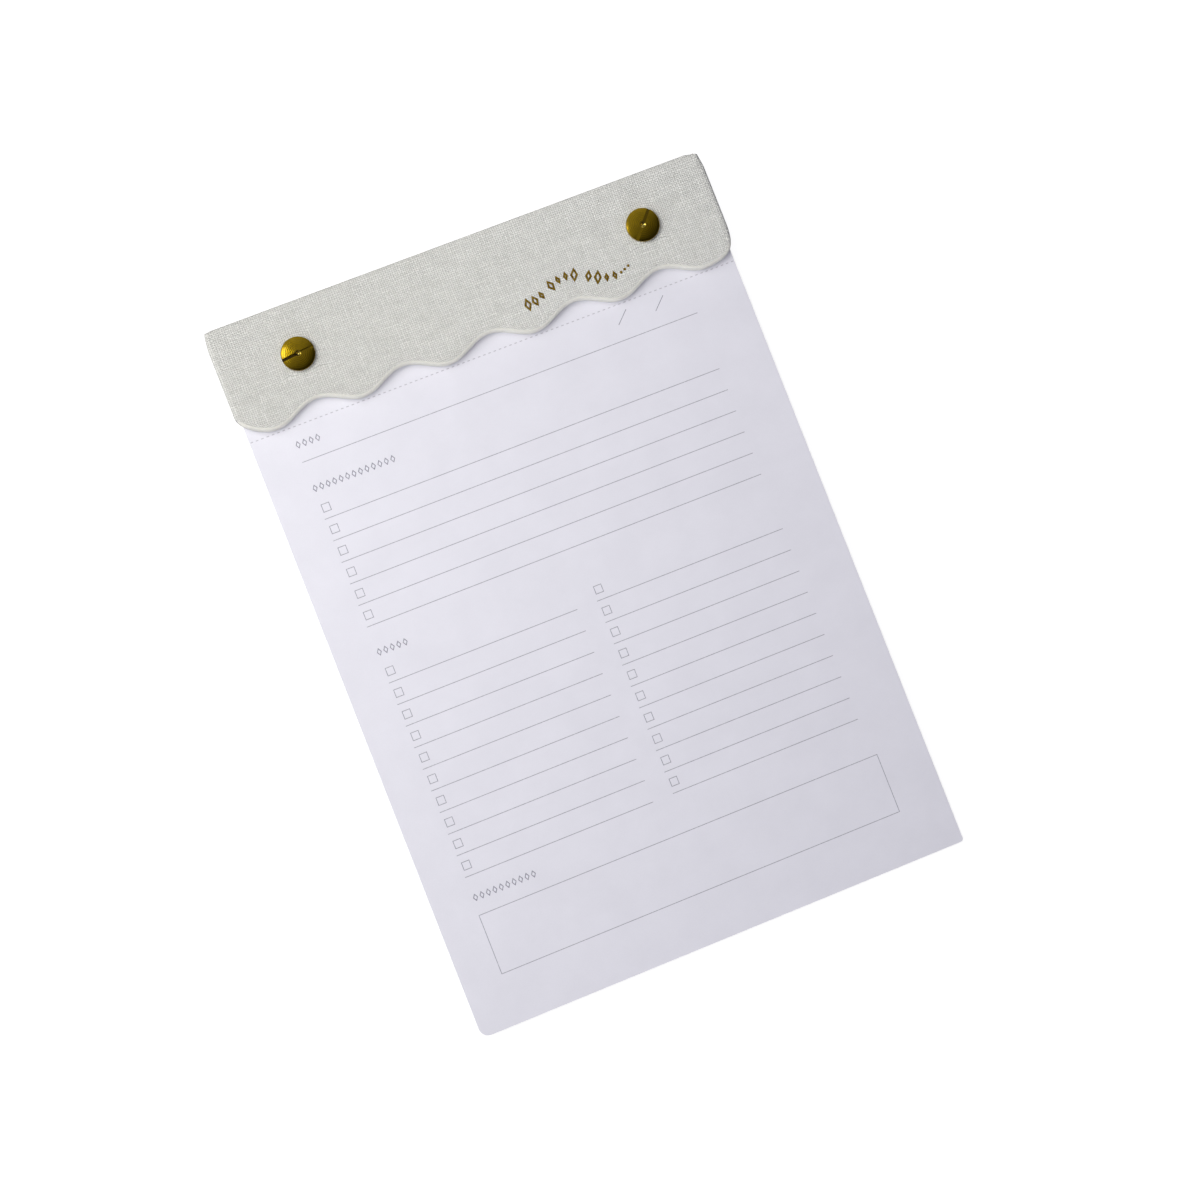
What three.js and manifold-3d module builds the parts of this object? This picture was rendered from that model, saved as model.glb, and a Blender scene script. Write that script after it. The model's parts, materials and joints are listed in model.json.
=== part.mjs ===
// Daily notepad: forty tear-off sheets on a greyboard back, held at the head
// under a scalloped strip of cloth-covered board by two slotted binding screws.
// Millimetres, +Z up, +Y towards the head, X across the width. The origin is on
// the table under the middle of the pad, which lies on its back.

import * as THREE from 'three';
import { mergeVertices } from 'three/addons/utils/BufferGeometryUtils.js';
import Module from 'manifold-3d';

const wasm = await Module();
wasm.setup();

// Clearance between a piece and a neighbour that goes into it or round it
const clearance = 0.3;

// Sheets: the first few are cut through at the perforation, so that they lift
const sheetWidth = 148.6;
const sheetLength = 210;
const sheetThickness = 0.12;
const sheetCount = 40;
const liftingSheetCount = 4;
const leftFootRadius = 2.8;
const rightFootRadius = 1;
const perforationCut = 0.3;

// Boards and cloth
const clothThickness = 0.4;
const frontBoardThickness = 2;
const backBoardThickness = 1.8;
const spineBoardThickness = 1.8;

// Cover: the scalloped strip, its spine round the head and its flap behind
const coverSideOverhang = 1.4;
const coverHeadOverhang = 3;
const coverLength = 32.7;
const coverEdgeRounding = 1.1;
const headCornerRadius = 2.5;
const turnInWidth = 6;
const spineSideOverhang = 0.4;
const spineBend = 1.5;
const backFlapLength = 26;

// Scalloped edge: a cosine wave with a valley in the middle of the width
const scallopCount = 5.78;
const scallopDepth = 4.3;
const scallopCornerRadius = 2.5;
const perforationBelowLobes = 0.7;

// Binding screws: a slotted screw from the front in a capped post from the back
const screwFromSide = 21.8;
const screwBelowHead = 12;
const headDiameter = 9.7;
const headRimHeight = 1.1;
const headDomeHeight = 0.7;
const slotWidth = 0.9;
const slotDepth = 0.9;
const leftSlotAngle = 5;
const rightSlotAngle = 49;
const shankDiameter = 3;
const shankLength = 6.5;
const postDiameter = 5;
const postHeadThickness = 1.1;
const postHeadChamfer = 0.4;
const postFloorThickness = 2;

// Fineness of the curves
const stepsPerScallop = 12;
const stepsPerBend = 6;
const stepsPerEdge = 3;
const roundSteps = 32;
const holeSteps = 12;

// Heights of the layers, from the table up
const flapBottom = postHeadThickness;
const backBoardBottom = flapBottom + clothThickness;
const stackBottom = backBoardBottom + backBoardThickness;
const stackTop = sheetTop(1);
const frontBoardBottom = stackTop + clothThickness;
const frontBoardTop = frontBoardBottom + frontBoardThickness;
const coverTop = frontBoardTop + clothThickness;

// Places along and across the pad
const padLength = sheetLength + coverHeadOverhang;
const spineOutside = padLength / 2;
const footY = -padLength / 2;
const headY = footY + sheetLength;
const lobeTipY = spineOutside - coverLength;
const perforationY = lobeTipY - perforationBelowLobes;
const screwY = headY - screwBelowHead;
const screwX = sheetWidth / 2 - screwFromSide;
const coverHalfWidth = sheetWidth / 2 + coverSideOverhang;
const scallopPitch = (2 * coverHalfWidth) / scallopCount;
const spineWidth = sheetWidth + 2 * spineSideOverhang;
const holeRadius = postDiameter / 2 + clearance;

// Sheets are numbered from the top one, and each lies on the next.
function sheetTop(number) {
  return stackBottom + (sheetCount + 1 - number) * sheetThickness;
}

const paper = new THREE.MeshStandardMaterial({ color: 0xe9e8ef, roughness: 0.85, metalness: 0 });
const cloth = new THREE.MeshStandardMaterial({ color: 0xcbcbc6, roughness: 0.9, metalness: 0 });
const greyboard = new THREE.MeshStandardMaterial({ color: 0xa79f92, roughness: 0.95, metalness: 0 });
const liningPaper = new THREE.MeshStandardMaterial({ color: 0xdedcd6, roughness: 0.8, metalness: 0 });
const brass = new THREE.MeshStandardMaterial({ color: 0xb39a3a, roughness: 0.25, metalness: 1 });

function named(name, geometry, material) {
  const mesh = new THREE.Mesh(geometry, material.clone());
  mesh.name = name;
  return mesh;
}

// A closed mesh as a solid that can be cut and joined, and back again.
function toSolid(geometry) {
  const bare = geometry.clone();
  bare.deleteAttribute('normal');
  bare.deleteAttribute('uv');
  const merged = mergeVertices(bare);
  return new wasm.Manifold(
    new wasm.Mesh({
      numProp: 3,
      vertProperties: new Float32Array(merged.attributes.position.array),
      triVerts: new Uint32Array(merged.index.array),
    })
  );
}

function toGeometry(solid) {
  const mesh = solid.getMesh();
  const geometry = new THREE.BufferGeometry();
  geometry.setAttribute('position', new THREE.BufferAttribute(mesh.vertProperties, 3));
  geometry.setIndex(new THREE.BufferAttribute(mesh.triVerts, 1));
  return geometry;
}

// Puts the two flat faces of a plate at exactly these heights, so that plates
// that lie on each other share one plane.
function setFaces(geometry, bottom, top) {
  geometry.computeBoundingBox();
  const { min, max } = geometry.boundingBox;
  const positions = geometry.attributes.position;
  for (let i = 0; i < positions.count; i += 1) {
    if (positions.getZ(i) === min.z) positions.setZ(i, bottom);
    if (positions.getZ(i) === max.z) positions.setZ(i, top);
  }
  return geometry;
}

// A flat plate with square edges.
function plate(outline, bottom, top) {
  const geometry = new THREE.ExtrudeGeometry(outline, {
    depth: top - bottom,
    bevelEnabled: false,
    curveSegments: stepsPerEdge,
  });
  return setFaces(geometry.translate(0, 0, bottom), bottom, top);
}

// A plate cut to the cover's outline, drawn in by an inset, with rounded edges.
function coverPlate({ headEnd, inset, bottom, top, rounding }) {
  const edge = Math.min(rounding, (top - bottom) / 2 - clearance / 10);
  const geometry = new THREE.ExtrudeGeometry(coverOutline(headEnd + inset), {
    depth: top - bottom - 2 * edge,
    bevelThickness: edge,
    bevelSize: edge,
    bevelOffset: -inset - edge,
    bevelSegments: stepsPerEdge,
    curveSegments: stepsPerEdge,
  });
  return setFaces(geometry.translate(0, 0, bottom + edge), bottom, top);
}

// The wave of the cover's lower edge, and its slope.
function scallopY(x) {
  return lobeTipY + (scallopDepth / 2) * (1 + Math.cos((2 * Math.PI * x) / scallopPitch));
}

function scallopSlope(x) {
  const turn = (2 * Math.PI) / scallopPitch;
  return -(scallopDepth / 2) * turn * Math.sin(turn * x);
}

// The scalloped strip seen from above, up to a straight end at the head.
function coverOutline(headEnd) {
  const side = coverHalfWidth;
  const waveEnd = side - scallopCornerRadius;
  const cornerY = scallopY(waveEnd) + scallopSlope(waveEnd) * scallopCornerRadius;
  const steps = Math.round((2 * waveEnd * stepsPerScallop) / scallopPitch);
  const outline = new THREE.Shape();
  outline.moveTo(-side, headEnd - headCornerRadius);
  outline.lineTo(-side, cornerY + scallopCornerRadius);
  outline.quadraticCurveTo(-side, cornerY, -waveEnd, scallopY(waveEnd));
  for (let i = 1; i <= steps; i += 1) {
    const x = waveEnd * ((2 * i) / steps - 1);
    outline.lineTo(x, scallopY(x));
  }
  outline.quadraticCurveTo(side, cornerY, side, cornerY + scallopCornerRadius);
  outline.lineTo(side, headEnd - headCornerRadius);
  outline.quadraticCurveTo(side, headEnd, side - headCornerRadius, headEnd);
  outline.lineTo(headCornerRadius - side, headEnd);
  outline.quadraticCurveTo(-side, headEnd, -side, headEnd - headCornerRadius);
  return outline;
}

// Where the two binding screws stand.
function screwPlaces() {
  return [-screwX, screwX].map((x) => new THREE.Vector2(x, screwY));
}

function punchHoles(outline) {
  for (const place of screwPlaces()) {
    const hole = new THREE.Path();
    for (let i = 0; i < holeSteps; i += 1) {
      const angle = (-2 * Math.PI * i) / holeSteps;
      const x = place.x + holeRadius * Math.cos(angle);
      const y = place.y + holeRadius * Math.sin(angle);
      if (i === 0) hole.moveTo(x, y);
      else hole.lineTo(x, y);
    }
    hole.closePath();
    outline.holes.push(hole);
  }
  return outline;
}

function drillHoles(solid) {
  const height = coverTop + 2 * clearance;
  return screwPlaces().reduce((rest, place) => {
    const drill = new THREE.CylinderGeometry(holeRadius, holeRadius, height, holeSteps);
    drill.rotateX(Math.PI / 2).translate(place.x, place.y, height / 2 - clearance);
    return rest.subtract(toSolid(drill));
  }, solid);
}

// A rectangle across the pad, as wide on the left as on the right.
function rectangle(width, fromY, toY) {
  const side = width / 2;
  const outline = new THREE.Shape();
  outline.moveTo(-side, toY);
  outline.lineTo(-side, fromY);
  outline.lineTo(side, fromY);
  outline.lineTo(side, toY);
  outline.closePath();
  return outline;
}

// A sheet from its foot, whose corners are rounded, up to a straight end.
function sheetOutline(toY) {
  const side = sheetWidth / 2;
  const leftX = leftFootRadius - side;
  const rightX = side - rightFootRadius;
  const quarter = Math.PI / 2;
  const outline = new THREE.Shape();
  outline.moveTo(-side, toY);
  outline.lineTo(-side, footY + leftFootRadius);
  outline.absarc(leftX, footY + leftFootRadius, leftFootRadius, 2 * quarter, 3 * quarter);
  outline.absarc(rightX, footY + rightFootRadius, rightFootRadius, 3 * quarter, 4 * quarter);
  outline.lineTo(side, toY);
  outline.closePath();
  return outline;
}

function sheetName(number) {
  return `sheet_${String(number).padStart(2, '0')}`;
}

// A sheet that lifts: a leaf that turns up at the perforation and a bound stub.
function liftingSheet(number) {
  const bottom = sheetTop(number + 1);
  const top = sheetTop(number);
  const leaf = sheetOutline(perforationY - perforationCut / 2);
  const stub = punchHoles(rectangle(sheetWidth, perforationY + perforationCut / 2, headY));
  return [
    named(`${sheetName(number)}_leaf`, plate(leaf, bottom, top), paper),
    named(`${sheetName(number)}_stub`, plate(stub, bottom, top), paper),
  ];
}

// A sheet further down: still one piece from head to foot.
function boundSheet(number) {
  const outline = punchHoles(sheetOutline(headY));
  return named(sheetName(number), plate(outline, sheetTop(number + 1), sheetTop(number)), paper);
}

function sheets() {
  const stack = new THREE.Group();
  for (let number = 1; number <= sheetCount; number += 1) {
    if (number <= liftingSheetCount) stack.add(...liftingSheet(number));
    else stack.add(boundSheet(number));
  }
  return stack;
}

function backBoard() {
  const outline = punchHoles(sheetOutline(headY));
  return named('back_board', plate(outline, backBoardBottom, stackBottom), greyboard);
}

// The board inside the scalloped strip.
function frontBoard() {
  const board = coverPlate({
    headEnd: headY - clearance,
    inset: clothThickness + clearance,
    bottom: frontBoardBottom,
    top: frontBoardTop,
    rounding: coverEdgeRounding - clothThickness,
  });
  return named('front_board', toGeometry(drillHoles(toSolid(board))), greyboard);
}

// The paper under the strip fills the space between the cloth's turned-in edges.
function liningOutline(drawnIn, toY) {
  const width = 2 * (coverHalfWidth - turnInWidth - drawnIn);
  return rectangle(width, scallopY(0) + turnInWidth + drawnIn, toY);
}

function frontLining() {
  const outline = punchHoles(liningOutline(clearance, headY - clearance));
  return named('front_lining', plate(outline, stackTop, frontBoardBottom), liningPaper);
}

// The strip of board that stiffens the spine.
function spineBoard() {
  const outside = spineOutside - clothThickness;
  const outline = rectangle(sheetWidth, outside - spineBoardThickness, outside);
  return named('spine_board', plate(outline, flapBottom + spineBend, coverTop - spineBend), greyboard);
}

// The cloth round the scalloped board: a shell with its edges turned in below.
function stripCloth() {
  const pastHead = headY + 2 * coverHeadOverhang;
  const outside = coverPlate({
    headEnd: headY + coverEdgeRounding,
    inset: 0,
    bottom: stackTop,
    top: coverTop,
    rounding: coverEdgeRounding,
  });
  const boardSpace = coverPlate({
    headEnd: pastHead,
    inset: clothThickness,
    bottom: frontBoardBottom,
    top: frontBoardTop,
    rounding: coverEdgeRounding - clothThickness,
  });
  const middle = (frontBoardBottom + frontBoardTop) / 2;
  const liningSpace = plate(liningOutline(0, pastHead), stackTop - clearance, middle);
  return toSolid(outside).subtract(toSolid(boardSpace)).subtract(toSolid(liningSpace));
}

// The cloth from the strip over the head and down the back, cut along X from
// its side view: a run on top, a bend, the spine, a bend and the flap.
function spineCloth() {
  const turnY = spineOutside - spineBend;
  const upperTurn = coverTop - spineBend;
  const lowerTurn = flapBottom + spineBend;
  const inside = spineBend - clothThickness;
  const quarter = Math.PI / 2;
  const sideView = new THREE.Shape();
  sideView.moveTo(headY - turnInWidth, coverTop);
  sideView.lineTo(headY - turnInWidth, frontBoardTop);
  sideView.lineTo(turnY, frontBoardTop);
  sideView.absarc(turnY, upperTurn, inside, quarter, 0, true);
  sideView.absarc(turnY, lowerTurn, inside, 0, -quarter, true);
  sideView.lineTo(headY - backFlapLength, backBoardBottom);
  sideView.lineTo(headY - backFlapLength, flapBottom);
  sideView.absarc(turnY, lowerTurn, spineBend, -quarter, 0);
  sideView.absarc(turnY, upperTurn, spineBend, 0, quarter);
  sideView.closePath();
  const geometry = new THREE.ExtrudeGeometry(sideView, {
    depth: spineWidth,
    bevelEnabled: false,
    curveSegments: stepsPerBend,
  });
  const alongX = new THREE.Matrix4().makeBasis(
    new THREE.Vector3(0, 1, 0),
    new THREE.Vector3(0, 0, 1),
    new THREE.Vector3(1, 0, 0)
  );
  return toSolid(geometry.applyMatrix4(alongX).translate(-spineWidth / 2, 0, 0));
}

function coverCloth() {
  return named('cover_cloth', toGeometry(drillHoles(stripCloth().add(spineCloth()))), cloth);
}

// A solid of revolution about Z from its half section, which starts and ends
// on the axis and runs from the lowest point to the highest.
function turned(section) {
  const points = section.map(([radius, height]) => new THREE.Vector2(radius, height));
  return new THREE.LatheGeometry(points, roundSteps).rotateX(Math.PI / 2);
}

// A post: a flat head under the flap and a barrel, bored from the top.
function post(name) {
  const radius = headDiameter / 2;
  const barrelTop = coverTop - clearance;
  const boreFloor = postHeadThickness + postFloorThickness;
  const boreRadius = shankDiameter / 2 + clearance;
  const section = [
    [0, 0],
    [radius - postHeadChamfer, 0],
    [radius, postHeadChamfer],
    [radius, postHeadThickness],
    [postDiameter / 2, postHeadThickness],
    [postDiameter / 2, barrelTop],
    [boreRadius, barrelTop],
    [boreRadius, boreFloor],
    [0, boreFloor],
  ];
  return named(name, turned(section), brass);
}

// A screw: a shank, a rim that sits on the cloth and a domed, slotted head.
function screw(name, slotAngle) {
  const radius = headDiameter / 2;
  const rimTop = coverTop + headRimHeight;
  const shankTip = coverTop - shankLength;
  const section = [
    [0, shankTip],
    [shankDiameter / 2, shankTip],
    [shankDiameter / 2, coverTop],
    [radius, coverTop],
  ];
  for (let i = 0; i <= stepsPerBend; i += 1) {
    const angle = ((Math.PI / 2) * i) / stepsPerBend;
    section.push([radius * Math.cos(angle), rimTop + headDomeHeight * Math.sin(angle)]);
  }
  section[section.length - 1][0] = 0;
  const slot = new THREE.BoxGeometry(2 * headDiameter, slotWidth, 2 * slotDepth);
  slot.rotateZ(THREE.MathUtils.degToRad(slotAngle));
  slot.translate(0, 0, rimTop + headDomeHeight);
  return named(name, toGeometry(toSolid(turned(section)).subtract(toSolid(slot))), brass);
}

function bindingScrews() {
  const [leftPlace, rightPlace] = screwPlaces();
  const left = new THREE.Group();
  left.add(post('left_post'), screw('left_screw', leftSlotAngle));
  left.position.set(leftPlace.x, leftPlace.y, 0);
  const right = new THREE.Group();
  right.add(post('right_post'), screw('right_screw', rightSlotAngle));
  right.position.set(rightPlace.x, rightPlace.y, 0);
  return [left, right];
}

const notepad = new THREE.Group();
notepad.add(backBoard(), sheets(), frontLining(), frontBoard(), spineBoard(), coverCloth());
notepad.add(...bindingScrews());

export default notepad;
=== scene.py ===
"""Looks of the daily notepad: cloth cover, printed sheets, brass screws and foil.

Lengths are millimetres in the part's frame unless a name says otherwise:
X across the width, Y towards the head, Z up. The table is at height 0.
"""

import json
import math

import bmesh
import bpy
import numpy as np
from mathutils import Matrix, Vector


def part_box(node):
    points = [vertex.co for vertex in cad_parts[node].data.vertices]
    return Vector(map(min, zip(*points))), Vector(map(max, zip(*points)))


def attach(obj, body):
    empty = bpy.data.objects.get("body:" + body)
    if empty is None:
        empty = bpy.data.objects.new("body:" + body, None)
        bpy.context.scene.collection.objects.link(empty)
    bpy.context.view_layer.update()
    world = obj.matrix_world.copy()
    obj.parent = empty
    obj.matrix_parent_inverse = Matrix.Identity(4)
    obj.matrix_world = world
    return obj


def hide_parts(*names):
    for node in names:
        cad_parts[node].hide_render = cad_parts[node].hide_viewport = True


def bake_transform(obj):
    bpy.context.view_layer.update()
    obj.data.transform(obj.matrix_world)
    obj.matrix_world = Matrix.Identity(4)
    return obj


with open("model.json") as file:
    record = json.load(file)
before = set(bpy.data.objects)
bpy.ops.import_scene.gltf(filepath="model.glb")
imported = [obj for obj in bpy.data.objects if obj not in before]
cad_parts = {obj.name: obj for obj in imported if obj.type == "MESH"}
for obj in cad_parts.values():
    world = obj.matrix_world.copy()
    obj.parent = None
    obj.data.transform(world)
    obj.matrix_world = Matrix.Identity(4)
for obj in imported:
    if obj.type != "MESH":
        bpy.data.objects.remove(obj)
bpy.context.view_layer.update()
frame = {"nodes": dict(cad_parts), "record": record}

MM = 0.001


def node_box(name):
    """Lowest and highest corner of a CAD node, in millimetres."""
    low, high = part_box(name)
    return np.array(low) / MM, np.array(high) / MM


# Places taken from the CAD pieces
cover_low, cover_high = node_box("cover_cloth")
leaf_low, leaf_high = node_box("sheet_01_leaf")
stub_low, stub_high = node_box("sheet_01_stub")
screw_low, screw_high = node_box("left_screw")

COVER_SIDE = cover_high[0]
COVER_TOP = cover_high[2]
SPINE_Y = cover_high[1]
STACK_TOP = leaf_high[2]
PAPER_SIDE = leaf_high[0]
FOOT_Y = leaf_low[1]
HEAD_Y = stub_high[1]
SHEET_THICKNESS = leaf_high[2] - leaf_low[2]
STACK_BOTTOM = STACK_TOP - 40 * SHEET_THICKNESS
PERFORATION_Y = (leaf_high[1] + stub_low[1]) / 2
SCREW_X = -(screw_low[0] + screw_high[0]) / 2
SCREW_Y = (screw_low[1] + screw_high[1]) / 2
FLAP_BOTTOM = cover_low[2]

# The cover and the sheets, as in the CAD
LOBE_TIP_Y = PERFORATION_Y + 0.7
SCALLOP_DEPTH = 4.3
SCALLOP_PITCH = 2 * COVER_SIDE / 5.78
HOLE_RADIUS = 2.8
CLOTH_THICKNESS = 0.4
STRIP_HEIGHT = COVER_TOP - STACK_TOP
TURN_IN = 6
BEND_RADIUS = 1.5
LIFTING_SHEETS = 4
LEFT_FOOT_RADIUS = 2.8
RIGHT_FOOT_RADIUS = 1.0

# The flap at the back is a little shorter than in the CAD, so that it doesn't
# show under the strip's left corner
FLAP_END_Y = HEAD_Y - 22.5

# The binding screws, as in the CAD
HEAD_RADIUS = (screw_high[0] - screw_low[0]) / 2
HEAD_RIM = 1.1
HEAD_DOME = 0.7
SLOT_WIDTH = 0.9
SLOT_DEPTH = 0.9
SHANK_RADIUS = 1.5
SHANK_LENGTH = 6.5


def smoothstep(values, low, high):
    """0 below low, 1 above high and a smooth curve between them."""
    part = np.clip((values - low) / (high - low), 0, 1)
    return part * part * (3 - 2 * part)


def add_mesh(name, points, faces, attributes=None, flat_map=None, sharp_degrees=30):
    """Makes a closed object from an N x 3 array of points in millimetres and an M x 4 array of faces.

    Corners that fall on each other are welded, so a four-cornered face may
    end as three-cornered. flat_map holds two millimetre numbers per point,
    stored as the piece's own map, and attributes holds one number or one
    vector per point.
    """
    mesh = bpy.data.meshes.new(name)
    points = np.asarray(points, float)
    faces = np.asarray(faces, np.int32)
    mesh.vertices.add(len(points))
    mesh.vertices.foreach_set("co", (points * MM).astype(np.float32).ravel())
    mesh.loops.add(faces.size)
    mesh.loops.foreach_set("vertex_index", faces.ravel())
    mesh.polygons.add(len(faces))
    mesh.polygons.foreach_set("loop_start", np.arange(0, faces.size, 4, dtype=np.int32))
    mesh.update(calc_edges=True)
    for key, values in (attributes or {}).items():
        values = np.asarray(values, np.float32)
        kind, field = ("FLOAT", "value") if values.ndim == 1 else ("FLOAT_VECTOR", "vector")
        layer = mesh.attributes.new(key, kind, "POINT")
        layer.data.foreach_set(field, values.ravel())
    if flat_map is not None:
        layer = mesh.uv_layers.new(name="cloth_map")
        layer.data.foreach_set("uv", np.asarray(flat_map, np.float32)[faces.ravel()].ravel())
    work = bmesh.new()
    work.from_mesh(mesh)
    bmesh.ops.remove_doubles(work, verts=work.verts, dist=1e-7)
    bmesh.ops.dissolve_degenerate(work, edges=work.edges, dist=1e-8)
    work.to_mesh(mesh)
    work.free()
    mesh.shade_smooth()
    mesh.set_sharp_from_angle(angle=math.radians(sharp_degrees))
    obj = bpy.data.objects.new(name, mesh)
    bpy.context.scene.collection.objects.link(obj)
    return obj


def grid_faces(rows, columns, wrap=False, start=0):
    """Faces of a grid of points numbered row by row; wrap joins the last column to the first."""
    numbers = start + np.arange(rows * columns).reshape(rows, columns)
    if wrap:
        numbers = np.hstack([numbers, numbers[:, :1]])
    corners = (numbers[:-1, :-1], numbers[:-1, 1:], numbers[1:, 1:], numbers[1:, :-1])
    return np.stack(corners, axis=-1).reshape(-1, 4)


def once_round(rows, columns):
    """Numbers of a grid's outermost points: first row, last column, last row, first column."""
    numbers = np.arange(rows * columns).reshape(rows, columns)
    return np.concatenate([numbers[0, :-1], numbers[:-1, -1], numbers[-1, :0:-1], numbers[:0:-1, 0]])


def finish_piece(obj, material, body=None, replaced=()):
    """Gives a piece its material, the body it rides and the CAD nodes it stands for."""
    obj.data.materials.clear()
    obj.data.materials.append(material)
    if body:
        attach(obj, body)
    if replaced:
        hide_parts(*replaced)


def dress_node(node, material):
    """Gives a CAD node its material on the object, and leaves its mesh as it came."""
    for place in node.material_slots:
        place.link = "OBJECT"
        place.material = material


def scallop_y(x):
    """The wave of the cover's lower edge: lobe tip + depth / 2 * (1 + cos(2 pi x / pitch))."""
    return LOBE_TIP_Y + SCALLOP_DEPTH / 2 * (1 + np.cos(2 * np.pi * x / SCALLOP_PITCH))


def scallop_slope(x):
    """The slope of that wave."""
    turn = 2 * np.pi / SCALLOP_PITCH
    return -SCALLOP_DEPTH / 2 * turn * np.sin(turn * x)


def rounded_corner(reach, rise, pull, samples):
    """A lower corner of the cover at the right side, from the wave to the side.

    The curve ((1-t)^2 A + 2wt(1-t) B + t^2 C) / ((1-t)^2 + 2wt(1-t) + t^2) with
    the wave A at this reach from the side, the side C at this rise over the
    corner B, and the pull w. B lies where the wave's tangent meets the side.
    """
    wave_x = COVER_SIDE - reach
    corner_y = scallop_y(wave_x) + scallop_slope(wave_x) * reach
    t = np.linspace(0, 1, samples)[:, None]
    weights = np.hstack([(1 - t) ** 2, 2 * pull * t * (1 - t), t**2])
    ends = np.array([(wave_x, scallop_y(wave_x)), (COVER_SIDE, corner_y), (COVER_SIDE, corner_y + rise)])
    return weights @ ends / weights.sum(axis=1)[:, None]


def scalloped_edge(samples=6000):
    """The cover's lower edge from the left side round both corners to the right side.

    The left corner is nearly cut off straight and the right one is a long
    curve. Gives the points and the unit directions out of the cover.
    """
    corner_samples = samples // 20
    left = rounded_corner(7.7, 4.6, 0.7, corner_samples)[::-1] * [-1, 1]
    right = rounded_corner(9.7, 9.6, 1.5, corner_samples)
    x = np.linspace(left[-1, 0], right[0, 0], samples)
    points = np.vstack([left[:-1], np.c_[x, scallop_y(x)], right[1:]])
    along = np.gradient(points, axis=0)
    along /= np.linalg.norm(along, axis=1)[:, None]
    return points, np.c_[along[:, 1], -along[:, 0]]


def steps(*runs):
    """Joined runs of evenly spaced numbers, each (from, to, count), with shared ends kept once."""
    parts = [np.linspace(a, b, n + 1)[:-1] for a, b, n in runs]
    return np.concatenate(parts + [[runs[-1][1]]])


def cloth_swell(x, y):
    """How far the cloth on the strip stands off flat: slow waves and a pucker round each screw."""
    waves = 0.018 * np.sin(x / 7.3 + 1.1) * np.sin(y / 5.1) + 0.012 * np.sin(x / 3.1 + y / 4.3)
    radius = np.hypot(np.abs(x) - SCREW_X, y - SCREW_Y)
    pucker = 0.05 * np.exp(-(((radius - 6.4) / 0.9) ** 2))
    calm = smoothstep(radius, 5.0, 7.0)
    return (waves - 0.03) * calm + pucker


# How far the flat cloth ends inside the outline, on the strip and on the spine
HEM_INSET = 1.75
FOLD_INSET = 0.4

# The fold over the board's edge
ROLL_RADIUS = 1.1


def arc(centre, reach, drop, angles, upper=True):
    """Points of a fold's quarter ellipse as (out, down), at angles off its top or else its side."""
    out, down = centre
    if upper:
        return [(out + reach * math.sin(a), down - drop * math.cos(a)) for a in angles]
    return [(out + reach * math.cos(a), down + drop * math.sin(a)) for a in angles]


def hem_rings():
    """Three tables of (out, down) that carry the hem from the flat cloth outwards, down and back under.

    They are for the strip's wavy edge, its straight sides and the plain edge
    of the spine and flap. The cloth on the wavy edge sinks into a crease,
    rolls over the board, runs down, turns in under it and comes back inside.
    """
    over = np.radians([22, 33, 44, 55, 66, 78, 90])
    under = np.radians([30, 60, 90])
    wall = HEM_INSET - CLOTH_THICKNESS
    low = STRIP_HEIGHT - CLOTH_THICKNESS
    turned = HEM_INSET - TURN_IN
    crease = [(0, 0), (0.2, 0.015), (0.38, 0.05), (0.5, 0.075), (0.62, 0.06)]
    strip_over = arc((HEM_INSET - ROLL_RADIUS, ROLL_RADIUS), ROLL_RADIUS, ROLL_RADIUS, over)
    side_over = arc((0.35, ROLL_RADIUS), HEM_INSET - 0.35, ROLL_RADIUS, over)
    down = [(HEM_INSET, 1.75), (HEM_INSET, low)]
    down += arc((wall, low), CLOTH_THICKNESS, CLOTH_THICKNESS, under, upper=False)
    back = [(-1.5, STRIP_HEIGHT), (turned, STRIP_HEIGHT), (turned, low + 0.02), (-1.5, low + 0.02)]
    back += [(wall, low), (wall, 1.2), (HEM_INSET - ROLL_RADIUS, CLOTH_THICKNESS), (0, CLOTH_THICKNESS)]
    strip = crease + strip_over + down + back
    straight = [(0.09 * n, 0.005 * n) for n in range(5)] + side_over + down + back

    half = CLOTH_THICKNESS / 2
    plain = [(half * share, 0) for share in np.linspace(0, 1, 5)]
    plain += arc((half, half), half, half, over)
    plain += [(CLOTH_THICKNESS, half + 0.01), (CLOTH_THICKNESS, half + 0.02)]
    plain += arc((half, half), half, half, under, upper=False)
    plain += [(half - half * share, CLOTH_THICKNESS) for share in (0.1, 0.2, 0.3, 0.4, 0.5, 0.6, 0.8, 1)]
    return np.array(strip), np.array(straight), np.array(plain)


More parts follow.
